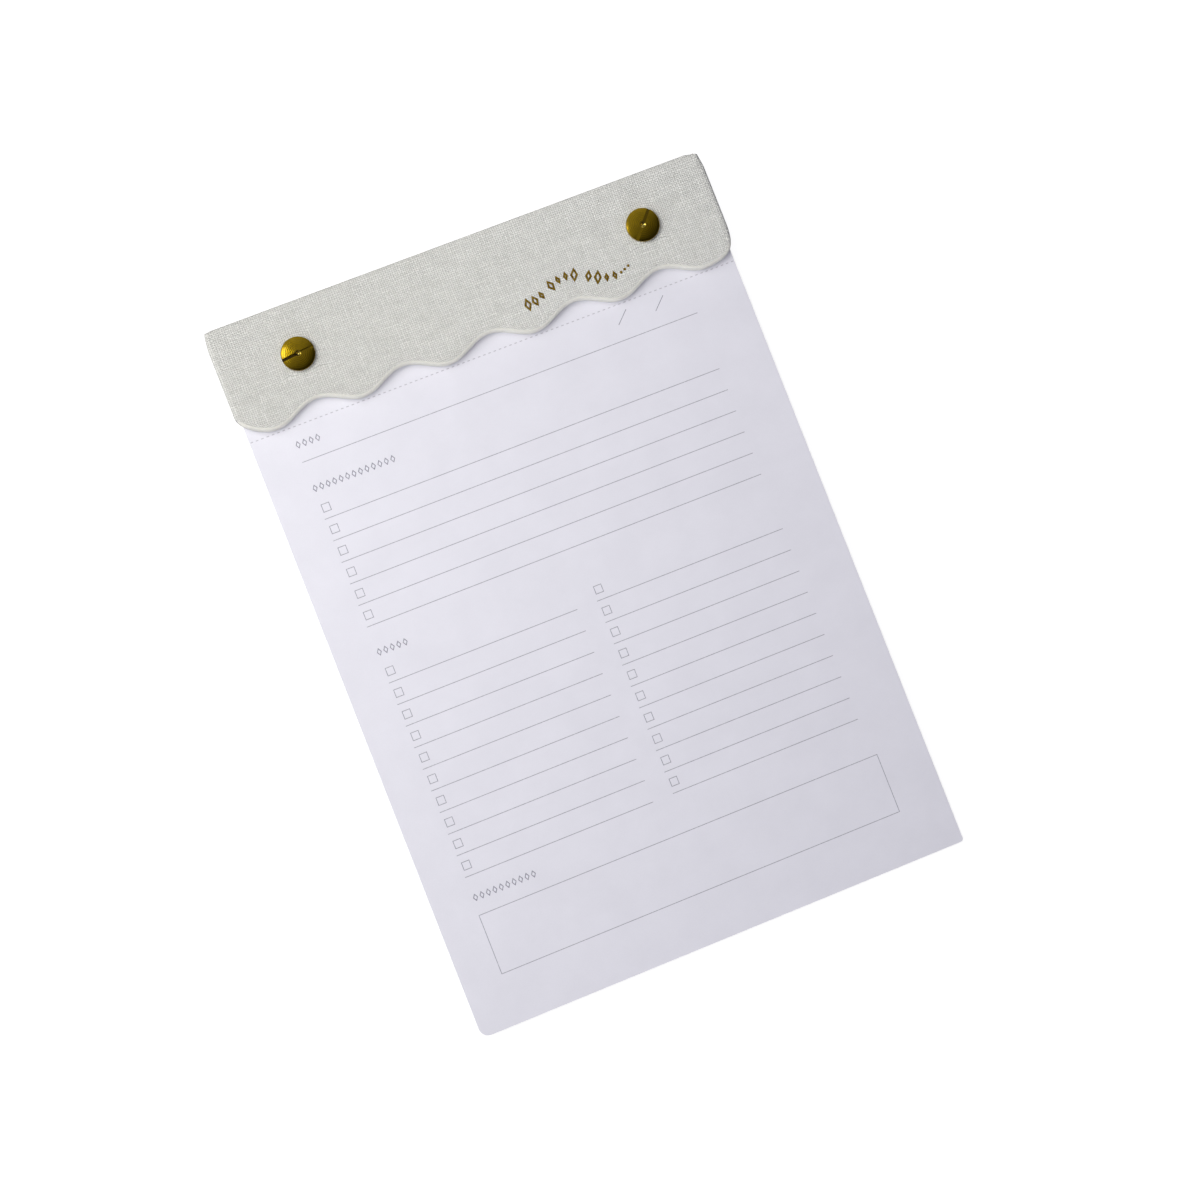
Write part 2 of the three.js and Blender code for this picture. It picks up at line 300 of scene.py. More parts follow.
def cover_path():
    """The way of the cloth from the strip over the head and down the back.

    Straight at the top to the bend, a quarter circle, the spine, a quarter
    circle and the flap. Gives per row: y, z, the normal's y and z, the
    distance gone, and whether the row is still on the strip (1) or not (0).
    """
    bend_y = SPINE_Y - BEND_RADIUS
    top_z = COVER_TOP - BEND_RADIUS
    low_z = FLAP_BOTTOM + BEND_RADIUS
    hole_low, hole_high = SCREW_Y - HOLE_RADIUS, SCREW_Y + HOLE_RADIUS
    y_top = steps(
        (hole_low - 2.7, hole_low, 4), (hole_low, hole_high, 6),
        (hole_high, hole_high + 4.2, 4), (hole_high + 4.2, bend_y, 8),
    )

    def bend(centre_z, angles):
        """Rows of a bend about (bend_y, centre_z), at these angles off its top."""
        for a in angles:
            out, up = math.sin(a), math.cos(a)
            rows.append((bend_y + BEND_RADIUS * out, centre_z + BEND_RADIUS * up, out, up))

    rows = [(y, COVER_TOP, 0.0, 1.0) for y in y_top]
    bend(top_z, np.radians(np.linspace(0, 90, 13)[1:]))
    rows.append((SPINE_Y, (top_z + low_z) / 2, 1.0, 0.0))
    bend(low_z, np.radians(np.linspace(90, 180, 11)))
    for y in steps((bend_y, hole_high, 5), (hole_high, hole_low, 6), (hole_low, FLAP_END_Y, 10))[1:]:
        rows.append((y, FLAP_BOTTOM, 0.0, -1.0))
    rows = np.array(rows)
    gone = np.r_[0, np.cumsum(np.hypot(np.diff(rows[:, 0]), np.diff(rows[:, 1])))] + rows[0, 0]
    on_strip = 1 - smoothstep(gone, bend_y - 0.6, bend_y + 2.6)
    return rows, gone, on_strip


def round_hole(x, y, centre_x):
    """Draws the square of grid points at HOLE_RADIUS to a circle, and fades out at three times that."""
    dx, dy = x - centre_x, y - SCREW_Y
    square = np.maximum(np.abs(dx), np.abs(dy))
    radius = np.maximum(np.hypot(dx, dy), 1e-9)
    share = np.clip(1 - (square - HOLE_RADIUS) / (2 * HOLE_RADIUS), 0, 1)
    scale = 1 + share * (square / radius - 1)
    return centre_x + dx * scale, SCREW_Y + dy * scale


def cover_cloth_points():
    """The outer and inner face of the cloth as rows x columns x 3, with what the hem needs.

    Columns run along the scalloped edge and keep their x all the way; the
    lower rows run straight from that edge, drawn in by HEM_INSET, to the
    first row of cover_path. Near the head the sides draw in by a smooth step.
    """
    edge, out = scalloped_edge()
    inner_edge = edge - HEM_INSET * out
    flat_side = COVER_SIDE - HEM_INSET
    # Columns in each corner, where the outline turns up to the side
    corner = np.linspace(0, len(edge) // 22, 17).astype(int)[:-1]
    x_left = inner_edge[corner, 0]
    x_right = inner_edge[len(edge) - 1 - corner[::-1], 0]
    hole_inner, hole_outer = SCREW_X - HOLE_RADIUS, SCREW_X + HOLE_RADIUS
    middle = steps(
        (x_left[-1] + 0.25, -hole_outer, 20), (-hole_outer, -hole_inner, 6),
        (-hole_inner, hole_inner, 112), (hole_inner, hole_outer, 6),
        (hole_outer, x_right[0] - 0.25, 20),
    )
    columns_x = np.concatenate([x_left, middle, x_right])
    place = np.interp(columns_x, inner_edge[:, 0], np.arange(len(edge)))
    place[: len(corner)] = corner
    place[-len(corner):] = len(edge) - 1 - corner[::-1]
    pick = np.round(place).astype(int)
    start = inner_edge[pick]
    columns_x = start[:, 0]
    path, gone, on_strip = cover_path()

    lower_share = np.linspace(0, 1, 10)[:-1]
    lower_y = start[:, 1] + lower_share[:, None] * (path[0, 0] - start[:, 1])
    lower_rows = len(lower_share)
    rows = lower_rows + len(path)
    columns = len(columns_x)
    outside = np.zeros((rows, columns, 3))
    normal = np.zeros((rows, columns, 3))
    outside[..., 0] = columns_x
    outside[:lower_rows, :, 1] = lower_y
    outside[:lower_rows, :, 2] = COVER_TOP
    normal[:lower_rows, :, 2] = 1
    outside[lower_rows:, :, 1:] = path[:, None, :2]
    normal[lower_rows:, :, 1:] = path[:, None, 2:]
    gone = np.r_[np.zeros(lower_rows), gone]
    on_strip = np.r_[np.ones(lower_rows), on_strip]

    # The sides draw in towards the head, the flat part reaches nearer to the plain edge
    side = COVER_SIDE - 0.8 * smoothstep(gone, 100.5, SPINE_Y + 2)
    inset = FOLD_INSET + (HEM_INSET - FOLD_INSET) * on_strip
    shift = side - inset - flat_side
    outer_part = smoothstep(np.abs(columns_x), 57, flat_side)
    outside[..., 0] += np.sign(columns_x) * shift[:, None] * outer_part

    # At both ends of the head the cloth is pulled in, on the right a little more
    across = outside[..., 0]
    pull = 0.7 * smoothstep(across, 71.0, 75.0) + 0.25 * smoothstep(-across, 72.5, 75.0)
    outside[..., 1] -= pull * smoothstep(normal[..., 1], 0.2, 1.0)

    # The cloth stands off its board on the strip only, and less towards the hem
    on_top = normal[..., 2] > 0.999
    flat = np.abs(normal[..., 2]) > 0.999
    swell = np.where(on_top, cloth_swell(outside[..., 0], outside[..., 1]), 0)
    settle = smoothstep(np.arange(rows)[:, None], 0, 4) * (1 - outer_part)
    outside[..., 2] += swell * settle * on_strip[:, None]
    for centre_x in (-SCREW_X, SCREW_X):
        moved = np.stack(round_hole(outside[..., 0], outside[..., 1], centre_x), axis=-1)
        outside[..., :2] = np.where(flat[..., None], moved, outside[..., :2])
    inside = outside - CLOTH_THICKNESS * normal
    map_v = np.where(np.arange(rows)[:, None] < lower_rows, outside[..., 1], gone[:, None])
    flat_map = np.stack([outside[..., 0], np.broadcast_to(map_v, outside.shape[:2])], axis=-1)
    return outside, inside, normal, on_strip, flat_map, out[pick]


def cover_cloth():
    """The cloth of the cover: outer and inner face, the hem all round and the walls of the holes.

    The hem is the boundary of the faces swept through the rings of
    hem_rings: point = boundary + out * direction - down * normal.
    """
    outside, inside, normal, on_strip, flat_map, edge_out = cover_cloth_points()
    rows, columns = outside.shape[:2]
    faces_out = grid_faces(rows, columns)
    centres = outside.reshape(-1, 3)[faces_out].mean(axis=1)
    radius = np.hypot(np.abs(centres[:, 0]) - SCREW_X, centres[:, 1] - SCREW_Y)
    solid = radius > HOLE_RADIUS * 0.93
    faces_out = faces_out[solid]
    faces_in = faces_out[:, ::-1] + rows * columns

    def inner(number):
        row, column = divmod(number, columns)
        return 0 < row < rows - 1 and 0 < column < columns - 1

    # Walls of the holes join the two faces along every edge that a removed face had
    edges = np.concatenate([faces_out[:, [i, (i + 1) % 4]] for i in range(4)])
    keys = {(a, b) for a, b in edges.tolist()}
    rim = np.array([(a, b) for a, b in keys if (b, a) not in keys and inner(a) and inner(b)])
    walls = np.c_[rim[:, 1], rim[:, 0], rim[:, 0] + rows * columns, rim[:, 1] + rows * columns]

    # The boundary: scalloped edge, right side, end of the flap, left side
    loop = once_round(rows, columns)
    out = np.zeros((rows, columns, 3))
    out[0, :, :2] = edge_out
    out[:, -1, 0] = 1
    out[:, 0, 0] = -1
    out[0, 0] = (-1, 0, 0)
    out[0, -1] = (1, 0, 0)
    out[-1, :, 1] = -1
    wavy, straight, plain = hem_rings()
    row_of = loop // columns
    share = on_strip[row_of][None, :, None]
    from_corner = np.minimum(loop % columns, columns - 1 - loop % columns)
    on_wave = np.where(row_of == 0, smoothstep(from_corner, 0, 8), 0)
    waved = on_wave[None, :, None]
    strip = waved * wavy[:, None, :] + (1 - waved) * straight[:, None, :]
    table = share * strip + (1 - share) * plain[:, None, :]
    start = outside.reshape(-1, 3)[loop]
    loop_out = out.reshape(-1, 3)[loop]
    loop_normal = normal.reshape(-1, 3)[loop]
    hem = start + table[..., :1] * loop_out - table[..., 1:] * loop_normal
    walked = np.r_[0, np.cumsum(np.hypot(*np.diff(wavy, axis=0).T))]
    hem_map = flat_map.reshape(-1, 2)[loop] + walked[:, None, None] * np.sign(loop_out[:, :2])
    # The rim marks the rolled edge of the wave: the cloth material smooths its weave there and paints its
    # colour lighter, a painted light
    rim_share = smoothstep(wavy[:, 0], 0.7, 1.2)
    rings, count = len(wavy), len(loop)
    hem_start = 2 * rows * columns
    hem_faces = grid_faces(rings, count, wrap=True, start=hem_start)[:, ::-1]

    points = np.vstack([outside.reshape(-1, 3), inside.reshape(-1, 3), hem.reshape(-1, 3)])
    maps = np.vstack([flat_map.reshape(-1, 2), flat_map.reshape(-1, 2), hem_map.reshape(-1, 2)])
    rim_values = np.r_[
        np.zeros(2 * rows * columns),
        (rim_share[:, None] * on_wave[None, :]).ravel(),
    ]
    faces = np.vstack([faces_out, faces_in, walls, hem_faces])
    return add_mesh("cover", points, faces, {"rim": rim_values}, maps, sharp_degrees=40)


def sheet_mesh(name, number):
    """A whole sheet: a plate with rounded foot corners and rows close together at the perforation.

    Each side's outline is side - corner(y), where corner is the quarter
    circle r - sqrt(r^2 - (r - (y - foot))^2) within r of the foot, else 0.
    Each point keeps its place on the flat sheet, for the print to follow, and whether it lies on the face.
    """
    top = STACK_TOP - (number - 1) * SHEET_THICKNESS
    foot = FOOT_Y + LEFT_FOOT_RADIUS * (1 - np.cos(np.radians(np.linspace(0, 90, 13))))
    fold_y = PERFORATION_Y - 1
    upward = steps((FOOT_Y + 3, fold_y, 20), (fold_y, PERFORATION_Y, 10), (PERFORATION_Y, HEAD_Y, 6))
    y = np.concatenate([foot, upward])

    def half_width(radius):
        near = np.clip(radius - (y - FOOT_Y), 0, radius)
        return PAPER_SIDE - (radius - np.sqrt(radius**2 - near**2))

    across = np.linspace(0, 1, 25)
    left, right = -half_width(LEFT_FOOT_RADIUS)[:, None], half_width(RIGHT_FOOT_RADIUS)[:, None]
    x = left + (right - left) * across
    upper = np.stack([x, np.broadcast_to(y[:, None], x.shape), np.full(x.shape, top)], axis=-1)
    lower = upper - [0, 0, SHEET_THICKNESS]
    rows, columns = x.shape
    loop = once_round(rows, columns)
    after = np.roll(loop, -1)
    count = rows * columns
    walls = np.c_[after, loop, loop + count, after + count]
    face = grid_faces(rows, columns)
    faces = np.vstack([face, face[:, ::-1] + count, walls])
    points = np.vstack([upper.reshape(-1, 3), lower.reshape(-1, 3)])
    on_face = np.r_[np.ones(count), np.zeros(count)]
    return add_mesh(name, points, faces, {"flat_place": points * MM, "on_face": on_face})


def turned(name, profile, x, y):
    """A solid turned about an upright axis, from (radius, height) pairs that start and end on it."""
    columns = 128
    radius, height = np.repeat(np.transpose(profile)[..., None], columns, axis=-1)
    angle = np.linspace(0, 2 * np.pi, columns, endpoint=False)
    points = np.stack([x + radius * np.cos(angle), y + radius * np.sin(angle), height], axis=-1)
    faces = grid_faces(len(profile), columns, wrap=True)
    return add_mesh(name, points.reshape(-1, 3), faces, {"radius": radius.ravel()})


def post(name, x):
    """A post: flat head with a chamfered edge below the flap, and a barrel bored almost to the head."""
    radius, head, barrel, bore = HEAD_RADIUS, 1.1, 2.5, 1.8
    barrel_top, bore_floor = COVER_TOP - 0.3, head + 2
    profile = [
        (0, 0), (radius - 0.5, 0), (radius - 0.38, 0.02), (radius - 0.03, 0.37), (radius, 0.45),
        (radius, head - 0.1), (radius - 0.1, head), (barrel, head), (barrel, barrel_top),
        (bore, barrel_top), (bore, bore_floor), (0, bore_floor),
    ]
    return turned(name, profile, x, SCREW_Y)


def screw_height(radius):
    """Height of the domed head over the rim's top: dome * sqrt(1 - (radius / head radius)^2)."""
    return HEAD_DOME * math.sqrt(max(1 - (radius / HEAD_RADIUS) ** 2, 0))


def screw(name, x, slot_degrees, slot_shade):
    """A binding screw with a domed head, a slot across it, a small countersink and a plain shank.

    The head is a polar grid whose columns keep to the slot's edges: at
    radius r the slot takes the angles within asin(w / r) of its line, the
    two caps take the rest, and where they meet each column is there twice,
    at the slot's floor and at the dome, so that the slot's walls stand up.
    The last argument says how dark the slot is painted at its first and at its second end, a painted shade.
    """
    rim_top = COVER_TOP + HEAD_RIM
    floor = rim_top + HEAD_DOME - SLOT_DEPTH
    dimple, dimple_depth = 0.85, 0.45
    cap_steps, slot_steps = 60, 9
    slot_part = np.linspace(-1, 1, slot_steps)
    cap_part = np.linspace(0, 1, cap_steps)

    def ring(radius, cap_height, slot_height, drawn_to=None):
        """One ring of columns cut at a radius, which may then be drawn in or out to another one."""
        half = math.asin(min(SLOT_WIDTH / 2 / radius, 1))
        slot = half * slot_part
        cap = half + (math.pi - 2 * half) * cap_part
        angles = np.concatenate([slot, cap, slot + math.pi, cap + math.pi]) + math.radians(slot_degrees)
        heights = np.concatenate([np.full(slot_steps, slot_height), np.full(cap_steps, cap_height)] * 2)
        reach = radius if drawn_to is None else drawn_to
        return np.stack([x + reach * np.cos(angles), SCREW_Y + reach * np.sin(angles), heights], axis=-1)

    rings, radii = [], []
    for share in (0.0, 0.35, 0.7, 1.0):
        height = floor - dimple_depth * (1 - share)
        rings.append(ring(dimple, height, height, dimple * share))
        radii.append(dimple * share)
    dome_radii = np.linspace(dimple + 0.06, 0.98 * HEAD_RADIUS, 40)
    for r in [dimple, *dome_radii, 0.99 * HEAD_RADIUS, 0.997 * HEAD_RADIUS, HEAD_RADIUS]:
        rings.append(ring(r, rim_top + screw_height(r), floor))
        radii.append(r)
    tip = COVER_TOP - SHANK_LENGTH
    below = [
        (HEAD_RADIUS, floor), (HEAD_RADIUS, COVER_TOP + 0.12), (HEAD_RADIUS - 0.1, COVER_TOP),
        (SHANK_RADIUS, COVER_TOP), (SHANK_RADIUS, tip + 0.2), (SHANK_RADIUS - 0.2, tip), (0.001, tip),
    ]
    for r, height in below:
        rings.append(ring(HEAD_RADIUS, height, height, r))
        radii.append(r)
    points = np.array(rings)
    count, columns = points.shape[:2]
    faces = grid_faces(count, columns, wrap=True)[:, ::-1]
    # Painted shade in the slot, set for each of its two ends
    slot_shade_values = np.zeros((count, columns))
    in_slot = np.arange(count) < count - len(below)
    slot_shade_values[in_slot, :slot_steps] = slot_shade[0]
    slot_shade_values[in_slot, slot_steps + cap_steps: 2 * slot_steps + cap_steps] = slot_shade[1]
    values = {"radius": np.repeat(radii, columns), "slot_shade": slot_shade_values.ravel()}
    return add_mesh(name, points.reshape(-1, 3), faces, values)


def foil_marks():
    """Places of the foil marks along the wave: middle x, middle y, slope angle and half height.

    Eleven open lozenges in three groups, then three small dots, on the line
    that runs a little above the scalloped edge.
    """
    groups = [(13.4, 3, 2.3), (21.5, 4, 2.45), (32.6, 4, 2.4)]
    x = np.concatenate([start + pitch * np.arange(count) for start, count, pitch in groups])
    dots = np.array([41.8, 43.1, 44.4])
    height = np.array([2.1, 1.9, 1.5, 2.0, 1.45, 1.45, 2.2, 1.9, 2.2, 1.45, 1.45])
    above_edge = 7.9 - 0.03 * (x - 13)
    angle = np.arctan(scallop_slope(x) * 0.9)
    return x, scallop_y(x) + above_edge, angle, height, dots


def foil():
    """The foil: thin open lozenges and dots, each a small ring or disc with some thickness."""
    x, y, angle, height, dots = foil_marks()
    lift, thickness = 0.035, 0.08
    half_width = 0.54 * height
    side_stroke, tip_stroke = 0.713, 1.178
    dot_radius, dot_above_edge, dot_sides = 0.42, 6.9, 12
    points, faces = [], []

    def lay(outer, inner, order):
        """Adds two flat loops and their copies below, and the faces that join them in this order.

        The upper loops are 0 (outer) and 1 (inner), the lower ones 2 and 3.
        """
        flat = np.vstack([outer, inner])
        top = COVER_TOP + cloth_swell(flat[:, 0], flat[:, 1]) + lift
        start = sum(len(part) for part in points)
        points.append(np.vstack([np.c_[flat, top], np.c_[flat, top - thickness]]))
        numbers = start + np.arange(2 * len(flat)).reshape(4, -1)[order]
        faces.append(numbers.ravel()[grid_faces(len(order), len(outer), wrap=True)])

    corner = np.array([(1, 0), (0, 1), (-1, 0), (0, -1)], float)
    for middle, a, w, h in zip(np.c_[x, y], angle, half_width, height):
        turn = np.array([[math.cos(a), math.sin(a)], [-math.sin(a), math.cos(a)]])
        outer = corner * [w, h] @ turn + middle
        inner = corner * [w - side_stroke, h - tip_stroke] @ turn + middle
        lay(outer, inner, [0, 1, 3, 2, 0])
    circle = np.linspace(0, 2 * np.pi, dot_sides, endpoint=False)
    for middle in np.c_[dots, scallop_y(dots) + dot_above_edge]:
        ring = middle + dot_radius * np.c_[np.cos(circle), np.sin(circle)]
        lay(ring, np.tile(middle, (dot_sides, 1)), [3, 2, 0, 1])
    return add_mesh("foil_ornament", np.vstack(points), np.vstack(faces))


def linear(red, green, blue):
    """A screen colour from 0 to 255 as the linear numbers that shaders use."""
    screen = np.array([red, green, blue]) / 255
    value = np.where(screen <= 0.04045, screen / 12.92, ((screen + 0.055) / 1.055) ** 2.4)
    return (*value.tolist(), 1.0)


class Field:
    """A number that varies over a surface, so that shader sums can be written as sums."""

    def __init__(self, tree, socket):
        self.tree = tree
        self.socket = socket

    def apply(self, operation, *others):
        node = self.tree.nodes.new("ShaderNodeMath")
        node.operation = operation
        for place, value in zip(node.inputs, (self, *others)):
            if isinstance(value, Field):
                self.tree.links.new(value.socket, place)
            else:
                place.default_value = value
        return Field(self.tree, node.outputs[0])

    def __add__(self, other):
        return self.apply("ADD", other)

    def __sub__(self, other):
        return self.apply("SUBTRACT", other)

    def __mul__(self, other):
        return self.apply("MULTIPLY", other)

    def __truediv__(self, other):
        return self.apply("DIVIDE", other)

    __radd__ = __add__
    __rmul__ = __mul__

    def __rsub__(self, other):
        return self.apply("MULTIPLY", -1.0).apply("ADD", other)

    def size(self):
        return self.apply("ABSOLUTE")

    def ramp(self, low, high):
        """0 below low, 1 above high, smooth between them."""
        node = self.tree.nodes.new("ShaderNodeMapRange")
        node.interpolation_type = "SMOOTHSTEP"
        node.inputs["From Min"].default_value = low
        node.inputs["From Max"].default_value = high
        self.tree.links.new(self.socket, node.inputs["Value"])
        return Field(self.tree, node.outputs["Result"])

    def band(self, low, high, soft=0.03):
        """1 between low and high, 0 outside them."""
        return self.ramp(low - soft, low + soft) * (1 - self.ramp(high - soft, high + soft))

    def nearest(self, first, pitch, count=None):
        """The distance to the nearest of evenly spaced places; count limits how many there are."""
        number = (self - first) / pitch
        number = number.apply("ROUND")
        if count:
            number = number.apply("MAXIMUM", 0).apply("MINIMUM", count - 1)
        return self - first - number * pitch


def strongest(fields):
    """The largest of several fields."""
    result = fields[0]
    for field in fields[1:]:
        result = result.apply("MAXIMUM", field)
    return result


def new_group(name, inputs, outputs):
    """A node group with these (name, socket type) inputs and outputs, and its two end nodes."""
    tree = bpy.data.node_groups.new(name, "ShaderNodeTree")
    for direction, sockets in (("INPUT", inputs), ("OUTPUT", outputs)):
        for label, kind in sockets:
            tree.interface.new_socket(name=label, in_out=direction, socket_type="NodeSocket" + kind)
    return tree, tree.nodes.new("NodeGroupInput"), tree.nodes.new("NodeGroupOutput")


def separate(tree, vector, scale=1.0):
    """The three numbers of a vector as fields, times a scale."""
    node = tree.nodes.new("ShaderNodeSeparateXYZ")
    tree.links.new(vector, node.inputs[0])
    return [Field(tree, node.outputs[i]) * scale for i in range(3)]


def combine(tree, *values):
    """Fields or numbers as a vector socket."""
    node = tree.nodes.new("ShaderNodeCombineXYZ")
    for place, value in zip(node.inputs, values):
        if isinstance(value, Field):
            tree.links.new(value.socket, place)
        else:
            place.default_value = value
    return node.outputs[0]


def noise(tree, vector, scale, detail=2.0, roughness=0.5):
    """Noise from 0 to 1 with its middle at 0.5."""
    node = tree.nodes.new("ShaderNodeTexNoise")
    node.inputs["Scale"].default_value = scale
    node.inputs["Detail"].default_value = detail
    node.inputs["Roughness"].default_value = roughness
    tree.links.new(vector, node.inputs["Vector"])
    return Field(tree, node.outputs["Fac"])


def mix_colour(tree, share, first, second):
    """A colour between two, by a share from 0 to 1; each may be a colour or a socket."""
    node = tree.nodes.new("ShaderNodeMix")
    node.data_type = "RGBA"
    tree.links.new(share.socket, node.inputs[0])
    for place, value in ((node.inputs[6], first), (node.inputs[7], second)):
        if isinstance(value, tuple):
            place.default_value = value
        else:
            tree.links.new(value, place)
    return node.outputs[2]


def object_coordinates(tree):
    return tree.nodes.new("ShaderNodeTexCoord").outputs["Object"]


def attribute(tree, name):
    """A number that a mesh keeps at each of its points."""
    node = tree.nodes.new("ShaderNodeAttribute")
    node.attribute_name = name
    return Field(tree, node.outputs["Fac"])


def flat_coordinates(tree):
    """Where a point of a sheet lies on the sheet laid flat."""
    return attribute(tree, "flat_place").socket.node.outputs["Vector"]


def new_material(name, roughness, metallic=0.0):
    """A material with a Principled shader; gives the material, its tree and that shader."""
    material = bpy.data.materials.new(name)
    material.use_nodes = True
    tree = material.node_tree
    shader = tree.nodes["Principled BSDF"]
    shader.inputs["Roughness"].default_value = roughness
    shader.inputs["Metallic"].default_value = metallic
    return material, tree, shader


def bump(tree, shader, height, distance_mm, strength=1.0):
    """Lets a height field of this full range turn the shader's normal."""
    node = tree.nodes.new("ShaderNodeBump")
    node.inputs["Distance"].default_value = distance_mm * MM
    node.inputs["Strength"].default_value = strength
    tree.links.new(height.socket, node.inputs["Height"])
    tree.links.new(node.outputs["Normal"], shader.inputs["Normal"])


def use_group(tree, group, **inputs):
    node = tree.nodes.new("ShaderNodeGroup")
    node.node_tree = group
    for name, socket in inputs.items():
        tree.links.new(socket, node.inputs[name])
    return node


def rule_block(x, y, left, right, first_y, count, boxes=True):
    """Ink of ruled lines, with a check box over the left end of each."""
    pitch, half_line = 6.53, 0.08
    last_y = first_y - (count - 1) * pitch
    from_rule = y.nearest(last_y, pitch, count)
    rules = from_rule.band(-half_line, half_line) * x.band(left, right)
    if not boxes:
        return rules
    box_x = (x - (left + 1.65)).size()
    box_y = y.nearest(last_y + 3.1, pitch, count).size()
    outline = strongest([box_x, box_y]).band(1.05, 1.22)
    return strongest([rules, outline])


def lozenge_row(x, y, left, middle_y, count):
    """Ink of a row of small open lozenges, which stands where a heading is printed."""
    pitch, half_height, line, slimness = 1.95, 1.15, 0.46, 1.6
    from_mark = x.nearest(left + 0.7, pitch, count).size() * slimness
    diamond = from_mark + (y - middle_y).size()
    return diamond.band(half_height - line, half_height)


def stroke(x, y, start, end):
    """Ink of one slanted stroke."""
    length = math.dist(start, end)
    ux, uy = (end[0] - start[0]) / length, (end[1] - start[1]) / length
    along = (x - start[0]) * ux + (y - start[1]) * uy
    aside = (x - start[0]) * uy - (y - start[1]) * ux
    return along.band(0, length) * aside.band(-0.1, 0.1)


def printed_page():
    """Node group: the print of a sheet and the slits of its perforation, from places in metres."""
    outputs = [("Ink", "Float"), ("Slits", "Float")]
    tree, start, end = new_group("printed page", [("Vector", "Vector")], outputs)
    x, y, _ = separate(tree, start.outputs[0], 1 / MM)
    frame_x = (x + 1.35).size() - 61.3
    frame_y = (y + 83.0).size() - 8.8
    left, right = -62.4, 58.6
    items = [
        rule_block(x, y, left, right, 62.8, 1, boxes=False),
        stroke(x, y, (36.0, 67.5), (39.6, 71.0)),
        stroke(x, y, (47.5, 67.5), (51.1, 71.0)),
        rule_block(x, y, left, right, 45.5, 6),
        rule_block(x, y, left, -5.1, -4.1, 10),
        rule_block(x, y, 1.0, right, -4.0, 10),
        strongest([frame_x, frame_y]).band(-0.08, 0.08),
    ]
    for middle_y, count in ((67.9, 4), (54.7, 13), (5.1, 5), (-69.1, 10)):
        items.append(lozenge_row(x, y, left, middle_y, count))
    wear = noise(tree, combine(tree, x, y, 0.0), 1.7, 3.0).ramp(0.25, 0.6) * 0.35 + 0.65
    ink = strongest(items) * wear
    slit_x = x.nearest(0.0, 1.6).size()
    slits = slit_x.band(-1, 0.38, 0.08) * (y - PERFORATION_Y).size().band(-1, 0.13, 0.06)
    tree.links.new(ink.socket, end.inputs["Ink"])
    tree.links.new(slits.socket, end.inputs["Slits"])
    return tree


def paper_fibres():
    """Node group: faint mottling and fibres of paper, from places in metres."""
    outputs = [("Tone", "Float"), ("Height", "Float")]
    tree, start, end = new_group("paper fibres", [("Vector", "Vector")], outputs)
    vector = start.outputs[0]
    cloudy = noise(tree, vector, 90.0, 4.0, 0.6)
    fine = noise(tree, vector, 2600.0, 3.0, 0.65)
    tone = cloudy * 0.6 + fine * 0.4
    tree.links.new(tone.socket, end.inputs["Tone"])
    tree.links.new(fine.socket, end.inputs["Height"])
    return tree


def paper_material(name, group_fibres, group_print=None, bends=False):
    """White uncoated paper: fibres, grey print, and on its cut edges the lines between sheets.

    With bends set, everything follows each point's place on the flat sheet, and the sheet's back is bare.
    """
    material, tree, shader = new_material(name, 0.62)
    shader.inputs["Specular IOR Level"].default_value = 0.35
    coordinates = flat_coordinates(tree) if bends else object_coordinates(tree)
    fibres = use_group(tree, group_fibres, Vector=coordinates)
    tone = Field(tree, fibres.outputs["Tone"])
    colour = mix_colour(tree, tone.ramp(0.2, 0.8), linear(231, 231, 239), linear(238, 238, 246))
    x, y, z = separate(tree, coordinates, 1 / MM)
    # Cut edges: a dark line where one sheet lies on the next, and each sheet its own tone
    layer = (z - STACK_BOTTOM) / SHEET_THICKNESS
    gap = layer.nearest(0.0, 1.0).size().band(-1, 0.17, 0.06)
    half_length = (HEAD_Y - FOOT_Y) / 2
    at_side = x.size().ramp(PAPER_SIDE - 0.012, PAPER_SIDE - 0.006)
    at_end = (y - (FOOT_Y + HEAD_Y) / 2).size().ramp(half_length - 0.012, half_length - 0.006)
    at_edge = strongest([at_side, at_end])
    sheet_number = layer.apply("FLOOR")
    along = noise(tree, combine(tree, x * 0.02, y * 0.02, sheet_number * 3.7), 1.0, 2.0)
    shade = at_edge * (gap * 0.5 + along.ramp(0.3, 0.7) * 0.12)
    colour = mix_colour(tree, shade, colour, linear(120, 117, 118))
    height = Field(tree, fibres.outputs["Height"]) * 0.25
    if group_print:
        page = use_group(tree, group_print, Vector=coordinates)
        upward = 1 - at_edge
        ink = Field(tree, page.outputs["Ink"]) * upward
        if bends:
            ink = ink * attribute(tree, "on_face")
        slits = Field(tree, page.outputs["Slits"])
        colour = mix_colour(tree, ink * 0.85, colour, linear(106, 103, 124))
        colour = mix_colour(tree, slits * 0.55, colour, linear(150, 146, 158))
        height = height - slits
    tree.links.new(colour, shader.inputs["Base Color"])
    bump(tree, shader, height, 0.03, 0.6)
    return material


